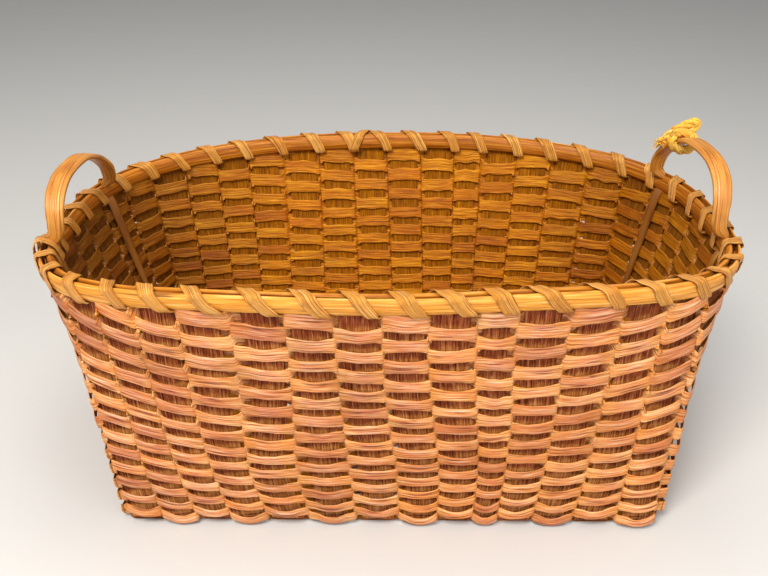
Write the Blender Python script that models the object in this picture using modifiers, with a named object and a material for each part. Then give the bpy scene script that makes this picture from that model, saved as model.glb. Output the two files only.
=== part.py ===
# Splint basket: rounded-rectangle base, walls that flare to an oval rim, two bentwood
# ear handles, a lashed two-hoop rim and a short rope tied round one handle.
# Metres, +Z up, +X along the length, the front wall faces -Y. The origin is on the
# surface the basket stands on, under the middle of the rim.
#
# Stake-and-strand weave: 14 crosswise and 8 lengthwise splints cross in the base
# (over one, under one) and turn up to become the 44 stakes of the wall. 25 weaver
# splints run round the wall, each over one stake and under the next.

import math

import bpy
from mathutils import Vector

MM = 0.001

# ---- driving dimensions (mm) ------------------------------------------------------
RIM_HALF_LENGTH = 260.0      # outer face of the outer rim hoop
RIM_HALF_WIDTH = 160.2
RIM_EXPONENT = 2.85          # superellipse exponent of the rim outline
RIM_HEIGHT = 219.8           # top of the rim over the middle of the long sides
RIM_END_DROP = 18.0          # the rim sinks towards both ends
RIM_TILT = 4.5               # and lies a little higher at +X
RIM_FRONT_SAG = 6.2          # shallow dip in the middle of the front
BASE_HALF_LENGTH = 201.5     # stake mid-surface at the foot of the wall
BASE_HALF_WIDTH = 123.3
BASE_SHIFT_X = 5.2           # the base sits a little off centre under the rim

CROSS_SPLINTS = 14
LONG_SPLINTS = 8
STAKES = 2 * (CROSS_SPLINTS + LONG_SPLINTS)
STAKE_WIDTH = 20.5
NARROW_SPLINT = 9            # crosswise splint number 10 is a narrow one
NARROW_WIDTH = 13.5
SPLINT = 1.2                 # thickness of the stakes
ROWS = 25
WEAVER = 1.0                 # thickness of the weavers
ROW_GAP = 0.9                # between two rows
ROW_TAPER = 1.45             # top row over bottom row, in height
CLEAR = 0.30                 # gap between crossing splints
FOOT_Z = 6.5                 # where the straight part of the wall starts

HOOP = 2.5                   # rim hoop thickness
HOOP_CLEAR = 0.75            # between the flat stakes and the bent hoops
HOOP_HEIGHT = 12.7
LEG = 2.2                    # handle leg thickness between the hoops
LASH = 0.8                   # lashing strip
LASH_WIDTH = 6.6
LASH_SLOT = 2.4              # room for the lashing under the hoops

HANDLE_WIDTH = 13.5          # across the bow, along X
HANDLE_THICK = 5.0
ROPE_RADIUS = 3.4

# The crosswise splints, counted from -X, lie unevenly (mm): where each one crosses the
# base, how far its front end stands off its even place along the rim, the same at the
# back, and how far the front part sways sideways at a quarter, half and three quarters
# of its height.
CROSS_X = (-181.6, -155.6, -129.9, -104.0, -74.5, -40.8, -6.3,
           25.5, 51.7, 74.4, 97.0, 125.4, 157.0, 192.0)
FRONT_LAY = (-7.0, -11.5, -10.2, -13.4, -5.0, -5.7, -4.4, -6.6, -8.2, -10.5, -12.2, -6.8, -4.0, -2.0)
BACK_LAY = (0.0, 1.0, 3.0, 5.5, 0.0, 1.0, 1.0, 2.0, 0.5, 5.5, 4.0, 5.5, 4.0, 0.0)
FRONT_SWAY = ((-2.2, -1.4, -0.8), (-3.4, -3.0, -1.8), (-5.2, -6.4, -4.0), (-5.2, -6.0, -2.0),
              (-8.5, -3.0, 0.6), (-1.1, -1.3, 0.2), (0.7, -1.8, -2.6), (1.5, -1.5, -2.0),
              (3.8, 1.4, -1.9), (3.2, 1.6, -0.7), (1.7, 3.9, 0.4), (1.5, -0.2, 0.3),
              (2.9, 2.5, 0.6), (-3.0, -3.6, -2.0))
LEFT_LAY = {0: -7.2, 1: -3.4}          # the first lengthwise splints give way at the corner

# ---- outlines ---------------------------------------------------------------------
WALL_TO_RIM = SPLINT / 2 + HOOP_CLEAR + HOOP        # stake mid-surface to the outer face
AM = RIM_HALF_LENGTH - WALL_TO_RIM
BM = RIM_HALF_WIDTH - WALL_TO_RIM


def power(value, exponent):
    return math.copysign(abs(value) ** exponent, value)


def rim_outline():
    """Points along the rim mid-line, counter-clockwise from the middle of the front."""
    pts, arc = [], [0.0]
    steps = 6000
    for i in range(steps + 1):
        a = -math.pi / 2 + 2 * math.pi * i / steps
        pts.append((AM * power(math.cos(a), 2 / RIM_EXPONENT),
                    BM * power(math.sin(a), 2 / RIM_EXPONENT)))
        if i:
            arc.append(arc[-1] + math.dist(pts[-1], pts[-2]))
    return pts, arc


RIM_PTS, RIM_ARC = rim_outline()
RIM_LENGTH = RIM_ARC[-1]
RIM_PITCH = RIM_LENGTH / STAKES


def rim_point(arc):
    arc %= RIM_LENGTH
    lo, hi = 0, len(RIM_ARC) - 1
    while hi - lo > 1:
        mid = (lo + hi) // 2
        if RIM_ARC[mid] <= arc:
            lo = mid
        else:
            hi = mid
    f = (arc - RIM_ARC[lo]) / max(RIM_ARC[hi] - RIM_ARC[lo], 1e-9)
    (x0, y0), (x1, y1) = RIM_PTS[lo], RIM_PTS[hi]
    return x0 + (x1 - x0) * f, y0 + (y1 - y0) * f


def rim_height(x, y):
    u = x / RIM_HALF_LENGTH
    front = min(max(-y / RIM_HALF_WIDTH, 0.0), 1.0)
    return (RIM_HEIGHT - RIM_END_DROP * u * u + RIM_TILT * u
            - RIM_FRONT_SAG * front * math.exp(-(u / 0.35) ** 2))


LONG_PITCH = 2 * BASE_HALF_WIDTH / LONG_SPLINTS


def long_y(k):
    return (k - (LONG_SPLINTS - 1) / 2) * LONG_PITCH


def catmull(points, t):
    """Smooth curve through a few points or values, t from 0 to 1."""
    n = len(points) - 1
    f = min(max(t, 0.0), 1.0) * n
    i = min(int(f), n - 1)
    u = f - i
    p0 = points[i - 1] if i else points[0] * 2 - points[1]
    p1, p2 = points[i], points[i + 1]
    p3 = points[i + 2] if i + 2 <= n else points[n] * 2 - points[n - 1]
    return 0.5 * (2 * p1 + (p2 - p0) * u + (2 * p0 - 5 * p1 + 4 * p2 - p3) * u * u
                  + (3 * p1 - p0 - 3 * p2 + p3) * u ** 3)


class Stake:
    """One stake of the wall: a slightly twisted strip from foot to rim. Those in front sway."""

    def __init__(self, i):
        nc, nl = CROSS_SPLINTS, LONG_SPLINTS
        lay = 0.0
        self.width = STAKE_WIDTH
        if i < nc:
            self.side, self.number = "front", i
        elif i < nc + nl:
            self.side, self.number = "right", i - nc
        elif i < 2 * nc + nl:
            self.side, self.number = "back", 2 * nc + nl - 1 - i
        else:
            self.side, self.number = "left", 2 * (nc + nl) - 1 - i
        n = self.number
        self.sway = (0.0,) * 5
        if self.side in ("front", "back"):
            lay = FRONT_LAY[n] if self.side == "front" else BACK_LAY[n]
            if self.side == "front":
                self.sway = (0.0, *FRONT_SWAY[n], 0.0)
            if n == NARROW_SPLINT:
                self.width = NARROW_WIDTH
            sy = -1 if self.side == "front" else 1
            foot = Vector((CROSS_X[n], sy * BASE_HALF_WIDTH, FOOT_Z))
            t0 = Vector((-sy, 0, 0))
        else:
            if self.side == "left":
                lay = LEFT_LAY.get(n, 0.0)
            sx = 1 if self.side == "right" else -1
            foot = Vector((BASE_SHIFT_X + sx * BASE_HALF_LENGTH, long_y(n), FOOT_Z))
            t0 = Vector((0, sx, 0))
        arc = (i - (nc - 1) / 2) * RIM_PITCH + lay
        x, y = rim_point(arc)
        xa, ya = rim_point(arc - 8.0)
        xb, yb = rim_point(arc + 8.0)
        self.foot = foot
        self.top = Vector((x, y, rim_height(x, y)))
        self.t0 = t0
        self.t1 = Vector((xb - xa, yb - ya, 0)).normalized()
        self.up = (self.top - foot).normalized()
        self.length = (self.top - foot).length
        self.twist = math.degrees(self.frame(0)[1].angle(self.frame(1)[1]))

    def frame(self, s):
        t = self.t0.lerp(self.t1, min(max(s, 0.0), 1.0))
        t = (t - self.up * t.dot(self.up)).normalized()
        c = self.foot.lerp(self.top, s) + t * catmull(self.sway, s)
        return c, t, t.cross(self.up)

    def at(self, s, along=0.0, out=0.0):
        c, t, n = self.frame(s)
        return c + t * along + n * out


WALL = [Stake(i) for i in range(STAKES)]


def from_top(stake, drop):
    return 1.0 - drop / stake.length


def at_height(stake, z, along, out):
    """Point beside a stake's mid-line at a given height."""
    s = 1.0
    for _ in range(4):
        p = stake.at(s, along, out)
        s += (z - p.z) / (stake.top.z - stake.foot.z)
    return stake.at(s, along, out)


def gap_point(i, drop, out):
    """Point of a rim piece in the gap after stake i, a given drop below the rim top."""
    a, b = WALL[i % STAKES], WALL[(i + 1) % STAKES]
    g = (b.top - a.top).length - (a.width + b.width) / 2
    m = (a.at(1.0, (a.width + g) / 2) + b.at(1.0, -(b.width + g) / 2)) / 2
    z = rim_height(m.x, m.y) - drop * (a.up.z + b.up.z) / 2
    pa = at_height(a, z, (a.width + g) / 2, out)
    pb = at_height(b, z, -(b.width + g) / 2, out)
    return (pa + pb) / 2


def rim_at(q, drop, out):
    """The same between gaps: q counts stakes, a whole number is a stake's middle."""
    i = math.floor(q - 0.5)
    return gap_point(i, drop, out).lerp(gap_point(i + 1, drop, out), q - 0.5 - i)


# ---- building helpers -------------------------------------------------------------
def material(name, colour, roughness):
    mat = bpy.data.materials.new(name)
    mat.use_nodes = True
    bsdf = mat.node_tree.nodes["Principled BSDF"]
    bsdf.inputs["Base Color"].default_value = (*colour, 1)
    bsdf.inputs["Roughness"].default_value = roughness
    bsdf.inputs["Metallic"].default_value = 0.0
    mat.diffuse_color = (*colour, 1)
    return mat


def strip(name, edges, thickness, mat, closed=False):
    """A splint: an open strip between two edge lines, thickened by Solidify."""
    verts, faces = [], []
    for a, b in edges:
        verts += [a * MM, b * MM]
    n = len(edges)
    for i in range(n if closed else n - 1):
        j = (i + 1) % n
        faces.append((2 * i, 2 * j, 2 * j + 1, 2 * i + 1))
    mesh = bpy.data.meshes.new(name)
    mesh.from_pydata(verts, [], faces)
    mesh.update()
    obj = bpy.data.objects.new(name, mesh)
    parts.objects.link(obj)
    obj.data.materials.append(mat)
    mod = obj.modifiers.new("Thickness", "SOLIDIFY")
    mod.thickness = thickness * MM
    mod.offset = 0.0
    mod.use_even_offset = True
    mod.use_rim = True
    return obj


def loft(name, rings, mat):
    """A closed solid through unlike sections that all have the same number of points."""
    verts = [p * MM for ring in rings for p in ring]
    m = len(rings[0])
    faces = [tuple(reversed(range(m)))]
    for r in range(len(rings) - 1):
        for i in range(m):
            j = (i + 1) % m
            faces.append((r * m + i, r * m + j, (r + 1) * m + j, (r + 1) * m + i))
    faces.append(tuple(range((len(rings) - 1) * m, len(rings) * m)))
    mesh = bpy.data.meshes.new(name)
    mesh.from_pydata(verts, [], faces)
    mesh.update()
    obj = bpy.data.objects.new(name, mesh)
    parts.objects.link(obj)
    obj.data.materials.append(mat)
    return obj


# ---- the pieces -------------------------------------------------------------------
def wall_stations(stake):
    """Edge points up one stake, with more stations where the strip twists more."""
    steps = max(4 if any(stake.sway) else 1, math.ceil(stake.twist / 3.5))
    top = from_top(stake, 1.8)
    h = stake.width / 2
    return [(stake.at(top * k / steps, -h), stake.at(top * k / steps, h))
            for k in range(steps + 1)]


def base_bend(x, y, dx, dy, width, z, inset_a, inset_m, rise_m):
    """Two stations between the flat base and the foot of the wall."""
    out = []
    side = Vector((-dy, dx, 0)) * (width / 2)
    for inset, height in ((inset_a, 0.0), (inset_m, rise_m)):
        p = Vector((x - dx * inset, y - dy * inset, z + height))
        out.append((p - side, p + side))
    return out


BASE_MID = 2.1               # height of the crosswise splints in the base
BASE_STEP = SPLINT + CLEAR   # a lengthwise splint lies this much above or below them


def cross_splint(j, mat):
    front, back = WALL[j], WALL[2 * CROSS_SPLINTS + LONG_SPLINTS - 1 - j]
    x = CROSS_X[j]
    line = list(reversed(wall_stations(front)))
    line += list(reversed(base_bend(x, -BASE_HALF_WIDTH, 0, -1, front.width, BASE_MID, 4.3, 1.1, 1.2)))
    bend = base_bend(x, BASE_HALF_WIDTH, 0, 1, back.width, BASE_MID, 4.3, 1.1, 1.2)
    line += [(b, a) for a, b in bend]
    line += [(b, a) for a, b in wall_stations(back)]
    return strip("cross_splint_%02d" % (j + 1), line, SPLINT, mat)


def long_splint(k, mat):
    right, left = WALL[CROSS_SPLINTS + k], WALL[STAKES - 1 - k]
    y = long_y(k)
    h = STAKE_WIDTH / 2
    line = list(reversed(wall_stations(left)))
    xl, xr = BASE_SHIFT_X - BASE_HALF_LENGTH, BASE_SHIFT_X + BASE_HALF_LENGTH

    def level(j):
        return BASE_MID + (BASE_STEP if (j + k) % 2 else -BASE_STEP)

    z = level(0)
    p = Vector((xl + 1.3, y, z + 1.5))
    line.append((p + Vector((0, h, 0)), p - Vector((0, h, 0))))
    for j in range(CROSS_SPLINTS):
        w = (NARROW_WIDTH if j == NARROW_SPLINT else STAKE_WIDTH) / 2 + 0.5
        for dx in (-w, w):
            p = Vector((CROSS_X[j] + dx, y, level(j)))
            line.append((p + Vector((0, h, 0)), p - Vector((0, h, 0))))
    z = level(CROSS_SPLINTS - 1)
    p = Vector((xr - 1.3, y, z + 1.5))
    line.append((p + Vector((0, h, 0)), p - Vector((0, h, 0))))
    line += [(b, a) for a, b in wall_stations(right)]
    return strip("long_splint_%02d" % (k + 1), line, SPLINT, mat)


def row_edges():
    """Lower and upper edge of each row, as a share of the woven height."""
    heights = [1.0 + (ROW_TAPER - 1.0) * r / (ROWS - 1) for r in range(ROWS)]
    total, cuts = sum(heights), [0.0]
    for h in heights:
        cuts.append(cuts[-1] + h / total)
    return cuts


def weaver_row(r, cuts, mat):
    c = SPLINT / 2 + CLEAR + WEAVER / 2 + 0.05
    line = []
    for i, stake in enumerate(WALL):
        woven = from_top(stake, HOOP_HEIGHT + LASH_SLOT) * stake.length
        lo = (0.3 + cuts[r] * (woven - 0.3) + ROW_GAP / 2) / stake.length
        hi = (0.3 + cuts[r + 1] * (woven - 0.3) - ROW_GAP / 2) / stake.length
        out = c + 0.008 * stake.twist      # twisted stakes need a little more room
        out = out if (i + r) % 2 else -out
        for side in (-1, 1):
            along = side * (stake.width / 2 + 0.5)
            # the row runs level across a stake that leans sideways
            level = along * stake.frame(lo)[1].z / (stake.top.z - stake.foot.z)
            line.append((stake.at(lo - level, along, out), stake.at(hi - level, along, out)))
    return strip("weaver_row_%02d" % (r + 1), line, WEAVER, mat, closed=True)


OUTER_MID = SPLINT / 2 + HOOP_CLEAR + HOOP / 2
INNER_MID = -(SPLINT / 2 + 0.4 + LEG + 0.5 + HOOP / 2)


def rim_hoop(name, mid, mat):
    line = [(gap_point(i, HOOP_HEIGHT, mid), gap_point(i, 0.0, mid)) for i in range(STAKES)]
    return strip(name, line, HOOP, mat, closed=True)


def rim_lashing(mat):
    """One strip wound over both hoops, once per gap, rising inside and slanting outside."""
    clear = 0.95
    half = LASH_WIDTH / 2 / RIM_PITCH
    outer, inner = OUTER_MID + HOOP / 2 + clear, INNER_MID - HOOP / 2 - clear
    # corners of the winding round the hoops: share of a pitch, drop and offset of the
    # side next to the hoops, and the way to the far side
    corners = ((0.48, HOOP_HEIGHT + 0.8, outer + 0.6, LASH, LASH), (0.49, HOOP_HEIGHT + 0.8, inner, LASH, -LASH),
               (0.52, -clear, inner, -LASH, -LASH), (0.60, -clear, outer, -LASH, LASH))
    rings = []
    for i in range(STAKES):
        for q, drop, out, down, away in corners:
            q += i
            rings.append([rim_at(q - half, drop, out), rim_at(q + half, drop, out),
                          rim_at(q + half, drop + down, out + away),
                          rim_at(q - half, drop + down, out + away)])
    # cut open beside the first stake, where the two ends tuck under the hoops
    return loft("rim_lashing", rings[1:] + rings[:1], mat)


def section(centre, across, through, half_w, half_t):
    """Eight-point section with eased corners."""
    e = 0.3 * min(half_w, half_t)
    pts = ((half_w, -half_t + e), (half_w, half_t - e), (half_w - e, half_t),
           (-half_w + e, half_t), (-half_w, half_t - e), (-half_w, -half_t + e),
           (-half_w + e, -half_t), (half_w - e, -half_t))
    return [centre + across * a + through * b for a, b in pts]


# The bow of a handle in its own plane: share of the way from the front leg to the rear
# one, and height over the rim as a share of the bow's height.
BOW = ((0.0, 0.0), (0.005, 0.28), (0.035, 0.52), (0.105, 0.77), (0.24, 0.95),
       (0.42, 1.0), (0.60, 0.95), (0.80, 0.70), (0.94, 0.36), (1.0, 0.0))
BOW_RISE = {-1: 41.0, 1: 48.0}           # the two handles, at -X and +X, differ a little
BOW_LEAN = {-1: math.radians(5.0), 1: math.radians(6.0)}
BOW_INSET = {-1: 5.4, 1: 7.4}            # a bow stands this much further in than its legs
SHOULDER = 5.0                           # height over which a leg grows into the bow


def bow_curve(front, rear, side):
    """Centre line of a bow. It stands inside the rim, a little inboard of its legs."""
    along = rear - front
    out = Vector((abs(along.y) * side, -along.x * side * (1 if along.y > 0 else -1), 0)).normalized()
    up = Vector((0, 0, 1)) * math.cos(BOW_LEAN[side]) + out * math.sin(BOW_LEAN[side])
    inset = -out * ((HANDLE_WIDTH * 0.78 - LEG) / 2 + BOW_INSET[side])
    rise = BOW_RISE[side] - SHOULDER
    return [front + inset + along * u + up * (SHOULDER + v * rise) for u, v in BOW], out


def handle(name, stakes, offsets, side, mat):
    """A bent bow whose legs are cut thin, pass between the hoops and run down inside."""
    mid_rim = -(SPLINT / 2 + 0.4 + LEG / 2)
    mid_wall = -(SPLINT / 2 + CLEAR + WEAVER + 0.05 + 0.65 + LEG / 2)
    legs = []
    for i, along in zip(stakes, offsets):
        stake = WALL[i]
        rings = []
        for drop, out, half_w, half_t in (
                (150.0, mid_wall, 1.5, 0.5), (90.0, mid_wall, 3.4, 0.9),
                (HOOP_HEIGHT + LASH_SLOT + 0.6, mid_wall, 4.4, LEG / 2),
                (HOOP_HEIGHT + 1.1, mid_rim, 4.4, LEG / 2), (-1.9, mid_rim, 4.4, LEG / 2)):
            s = from_top(stake, drop)
            _, t, n = stake.frame(s)
            rings.append((stake.at(s, along, out), t, n, half_w, half_t))
        legs.append(rings)
    front = WALL[stakes[0]].at(from_top(WALL[stakes[0]], -1.9), offsets[0], mid_rim)
    rear = WALL[stakes[1]].at(from_top(WALL[stakes[1]], -1.9), offsets[1], mid_rim)
    pts, out_dir = bow_curve(front, rear, side)
    steps = 20
    curve = [catmull(pts, k / steps) for k in range(steps + 1)]
    bow = []
    for k, p in enumerate(curve):
        a, b = curve[max(k - 1, 0)], curve[min(k + 1, steps)]
        along = (b - a).normalized()
        across = (out_dir - along * out_dir.dot(along)).normalized()
        ease = min(1.0, 0.78 + 0.22 * math.sin(math.pi * k / steps))
        bow.append((p, along, across, HANDLE_WIDTH / 2 * ease, HANDLE_THICK / 2))

    # Each section is set out across (away from the basket) and through = run x across,
    # so every ring goes the same way round the running line.
    rings = []
    for c, t, n, hw, ht in legs[0]:
        across = n if n.dot(out_dir) > 0 else -n
        rings.append(section(c, across, t.cross(n).cross(across), ht, hw))
    for c, along, across, hw, ht in bow:
        rings.append(section(c, across, along.cross(across), hw, ht))
    for c, t, n, hw, ht in reversed(legs[1]):
        across = n if n.dot(out_dir) > 0 else -n
        rings.append(section(c, across, across.cross(t.cross(n)), ht, hw))
    return rings, curve, out_dir


def build_handle(name, stakes, offsets, side, mat):
    rings, curve, out_dir = handle(name, stakes, offsets, side, mat)
    loft(name, rings, mat)
    return curve, out_dir


def rope_tie(curve, out_dir, mat):
    """A short rope wound round the bow, its two ends side by side at the rear."""
    steps = 34
    centre_t = 0.80
    n = len(curve) - 1
    k = int(centre_t * n)
    c = curve[k]
    along = (curve[k + 1] - curve[k - 1]).normalized()
    across = (out_dir - along * out_dir.dot(along)).normalized()
    normal = across.cross(along)
    ra = HANDLE_WIDTH / 2 + ROPE_RADIUS + 0.6
    rb = HANDLE_THICK / 2 + ROPE_RADIUS + 2.2
    pts = []
    turns = 1.9
    for i in range(steps + 1):
        f = i / steps
        a = 2 * math.pi * turns * f + math.radians(200)
        shift = (f - 0.5) * turns * (2 * ROPE_RADIUS + 0.7)
        grow = 1.0 + 0.10 * abs(2 * f - 1)
        pts.append(c + across * (math.cos(a) * ra * grow) + normal * (math.sin(a) * rb * grow) + along * shift)
    data = bpy.data.curves.new("rope_tie", "CURVE")
    data.dimensions = "3D"
    data.bevel_depth = ROPE_RADIUS * MM
    data.bevel_resolution = 1
    data.use_fill_caps = True
    data.resolution_u = 1
    spline = data.splines.new("POLY")
    spline.points.add(len(pts) - 1)
    for p, co in zip(spline.points, pts):
        p.co = (*(co * MM), 1)
    obj = bpy.data.objects.new("rope_tie", data)
    parts.objects.link(obj)
    obj.data.materials.append(mat)
    return obj


# ---- scene ------------------------------------------------------------------------
for old in list(bpy.data.objects):
    bpy.data.objects.remove(old, do_unlink=True)
parts = bpy.data.collections.new("splint_basket")
bpy.context.scene.collection.children.link(parts)

stake_mat = material("stake_splint", (0.22, 0.085, 0.035), 0.62)
weaver_mat = material("weaver_splint", (0.47, 0.22, 0.09), 0.55)
rim_mat = material("rim_hoop_wood", (0.58, 0.34, 0.12), 0.5)
lash_mat = material("lashing_splint", (0.55, 0.30, 0.10), 0.5)
handle_mat = material("handle_wood", (0.52, 0.26, 0.08), 0.45)
rope_mat = material("rope_fibre", (0.72, 0.47, 0.18), 0.85)

for j in range(CROSS_SPLINTS):
    cross_splint(j, stake_mat)
for k in range(LONG_SPLINTS):
    long_splint(k, stake_mat)
cuts = row_edges()
for r in range(ROWS):
    weaver_row(r, cuts, weaver_mat)
rim_hoop("rim_hoop_outer", OUTER_MID, rim_mat)
rim_hoop("rim_hoop_inner", INNER_MID, rim_mat)
rim_lashing(lash_mat)
right = [CROSS_SPLINTS + k for k in range(LONG_SPLINTS)]
left = [STAKES - 1 - k for k in range(LONG_SPLINTS)]
build_handle("handle_left", (left[2], left[6]), (-1.0, 5.5), -1, handle_mat)
bow, outward = build_handle("handle_right", (right[2], right[6]), (5.5, 5.5), 1, handle_mat)
rope_tie(bow, outward, rope_mat)
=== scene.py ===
# Visual model of the splint basket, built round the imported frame.
# The layout numbers repeat the CAD's, in millimetres, and every piece stands for its node.
import math

import bpy
import numpy as np
from mathutils import Matrix, Vector


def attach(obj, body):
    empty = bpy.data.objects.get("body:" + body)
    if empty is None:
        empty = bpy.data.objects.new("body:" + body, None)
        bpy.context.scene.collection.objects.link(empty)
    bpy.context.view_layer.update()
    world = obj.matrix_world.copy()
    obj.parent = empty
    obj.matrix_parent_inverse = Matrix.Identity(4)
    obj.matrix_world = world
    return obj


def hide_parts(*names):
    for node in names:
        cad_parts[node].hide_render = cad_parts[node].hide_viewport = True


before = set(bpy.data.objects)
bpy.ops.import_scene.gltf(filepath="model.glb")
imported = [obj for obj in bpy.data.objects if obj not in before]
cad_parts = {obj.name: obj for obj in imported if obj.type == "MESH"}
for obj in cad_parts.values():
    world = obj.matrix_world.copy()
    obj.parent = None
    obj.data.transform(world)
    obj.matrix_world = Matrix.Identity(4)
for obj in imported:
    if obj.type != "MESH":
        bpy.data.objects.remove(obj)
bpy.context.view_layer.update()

MM = 0.001
rng = np.random.default_rng(20)

# ---- layout, as in the CAD ---------------------------------------------------------
RIM_HALF_LENGTH, RIM_HALF_WIDTH, RIM_EXPONENT = 260.0, 160.2, 2.85
RIM_HEIGHT, RIM_END_DROP, RIM_TILT, RIM_FRONT_SAG = 219.8, 18.0, 4.5, 6.2
BASE_HALF_LENGTH, BASE_HALF_WIDTH, BASE_SHIFT_X = 201.5, 123.3, 5.2
NC, NL = 14, 8
STAKES = 2 * (NC + NL)
STAKE_WIDTH, NARROW_SPLINT, NARROW_WIDTH, SPLINT = 20.5, 9, 13.5, 1.2
ROWS, WEAVER, ROW_GAP, ROW_TAPER, CLEAR, FOOT_Z = 25, 1.0, 0.6, 1.45, 0.30, 6.5
HOOP, HOOP_CLEAR, HOOP_HEIGHT, LEG, LASH_SLOT = 2.5, 0.75, 12.7, 2.2, 2.4
HANDLE_WIDTH, HANDLE_THICK = 13.5, 5.0
CROSS_X = (-181.6, -155.6, -129.9, -104.0, -74.5, -40.8, -6.3,
           25.5, 51.7, 74.4, 97.0, 125.4, 157.0, 192.0)
FRONT_LAY = (-7.0, -11.5, -10.2, -13.4, -5.0, -5.7, -4.4, -6.6, -8.2, -10.5, -12.2, -6.8, -4.0, -2.0)
BACK_LAY = (0.0, 1.0, 3.0, 5.5, 0.0, 1.0, 1.0, 2.0, 0.5, 5.5, 4.0, 5.5, 4.0, 0.0)
FRONT_SWAY = ((-2.2, -1.4, -0.8), (-3.4, -3.0, -1.8), (-5.2, -6.4, -4.0), (-5.2, -6.0, -2.0),
              (-8.5, -3.0, 0.6), (-1.1, -1.3, 0.2), (0.7, -1.8, -2.6), (1.5, -1.5, -2.0),
              (3.8, 1.4, -1.9), (3.2, 1.6, -0.7), (1.7, 3.9, 0.4), (1.5, -0.2, 0.3),
              (2.9, 2.5, 0.6), (-3.0, -3.6, -2.0))
LEFT_LAY = {0: -7.2, 1: -3.4}
WALL_TO_RIM = SPLINT / 2 + HOOP_CLEAR + HOOP
AM, BM = RIM_HALF_LENGTH - WALL_TO_RIM, RIM_HALF_WIDTH - WALL_TO_RIM
LONG_PITCH = 2 * BASE_HALF_WIDTH / NL

_a = -math.pi / 2 + 2 * math.pi * np.arange(6001) / 6000
_c, _s = np.cos(_a), np.sin(_a)
RIM_X = AM * np.sign(_c) * np.abs(_c) ** (2 / RIM_EXPONENT)
RIM_Y = BM * np.sign(_s) * np.abs(_s) ** (2 / RIM_EXPONENT)
RIM_ARC = np.concatenate(([0.0], np.cumsum(np.hypot(np.diff(RIM_X), np.diff(RIM_Y)))))
RIM_LENGTH = RIM_ARC[-1]
RIM_PITCH = RIM_LENGTH / STAKES


def rim_point(arc):
    arc = arc % RIM_LENGTH
    return float(np.interp(arc, RIM_ARC, RIM_X)), float(np.interp(arc, RIM_ARC, RIM_Y))


def rim_height(x, y):
    u = x / RIM_HALF_LENGTH
    front = min(max(-y / RIM_HALF_WIDTH, 0.0), 1.0)
    return (RIM_HEIGHT - RIM_END_DROP * u * u + RIM_TILT * u
            - RIM_FRONT_SAG * front * math.exp(-(u / 0.35) ** 2))


def long_y(k):
    return (k - (NL - 1) / 2) * LONG_PITCH


def catmull(points, t):
    n = len(points) - 1
    f = min(max(t, 0.0), 1.0) * n
    i = min(int(f), n - 1)
    u = f - i
    p0 = points[i - 1] if i else points[0] * 2 - points[1]
    p1, p2 = points[i], points[i + 1]
    p3 = points[i + 2] if i + 2 <= n else points[n] * 2 - points[n - 1]
    return 0.5 * (2 * p1 + (p2 - p0) * u + (2 * p0 - 5 * p1 + 4 * p2 - p3) * u * u
                  + (3 * p1 - p0 - 3 * p2 + p3) * u ** 3)


class Stake:
    def __init__(self, i):
        self.width, lay, self.sway = STAKE_WIDTH, 0.0, (0.0,) * 5
        if i < NC:
            self.side, n = "front", i
        elif i < NC + NL:
            self.side, n = "right", i - NC
        elif i < 2 * NC + NL:
            self.side, n = "back", 2 * NC + NL - 1 - i
        else:
            self.side, n = "left", 2 * (NC + NL) - 1 - i
        self.number, self.index = n, i
        if self.side in ("front", "back"):
            lay = FRONT_LAY[n] if self.side == "front" else BACK_LAY[n]
            if self.side == "front":
                self.sway = (0.0, *FRONT_SWAY[n], 0.0)
            if n == NARROW_SPLINT:
                self.width = NARROW_WIDTH
            sy = -1 if self.side == "front" else 1
            foot, t0 = (CROSS_X[n], sy * BASE_HALF_WIDTH, FOOT_Z), (-sy, 0, 0)
        else:
            if self.side == "left":
                lay = LEFT_LAY.get(n, 0.0)
            sx = 1 if self.side == "right" else -1
            foot, t0 = (BASE_SHIFT_X + sx * BASE_HALF_LENGTH, long_y(n), FOOT_Z), (0, sx, 0)
        arc = (i - (NC - 1) / 2) * RIM_PITCH + lay
        x, y = rim_point(arc)
        xa, ya = rim_point(arc - 8.0)
        xb, yb = rim_point(arc + 8.0)
        self.foot, self.t0 = np.array(foot, float), np.array(t0, float)
        self.top = np.array((x, y, rim_height(x, y)))
        t1 = np.array((xb - xa, yb - ya, 0.0))
        self.t1 = t1 / np.linalg.norm(t1)
        d = self.top - self.foot
        self.length = np.linalg.norm(d)
        self.up = d / self.length
        n0, n1 = self.frame(0)[1], self.frame(1)[1]
        self.twist = math.degrees(math.acos(min(1.0, float(n0 @ n1))))

    def frame(self, s):
        k = min(max(s, 0.0), 1.0)
        t = self.t0 * (1 - k) + self.t1 * k
        t = t - self.up * (t @ self.up)
        t = t / np.linalg.norm(t)
        c = self.foot + (self.top - self.foot) * s + t * catmull(self.sway, s)
        return c, t, np.cross(t, self.up)

    def at(self, s, along=0.0, out=0.0):
        c, t, n = self.frame(s)
        return c + t * along + n * out


WALL = [Stake(i) for i in range(STAKES)]


def from_top(stake, drop):
    return 1.0 - drop / stake.length


def at_height(stake, z, along, out):
    s = 1.0
    for _ in range(4):
        p = stake.at(s, along, out)
        s += (z - p[2]) / (stake.top[2] - stake.foot[2])
    return stake.at(s, along, out)


def gap_point(i, drop, out):
    a, b = WALL[i % STAKES], WALL[(i + 1) % STAKES]
    g = np.linalg.norm(b.top - a.top) - (a.width + b.width) / 2
    m = (a.at(1.0, (a.width + g) / 2) + b.at(1.0, -(b.width + g) / 2)) / 2
    z = rim_height(m[0], m[1]) - drop * (a.up[2] + b.up[2]) / 2
    return (at_height(a, z, (a.width + g) / 2, out) + at_height(b, z, -(b.width + g) / 2, out)) / 2


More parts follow.
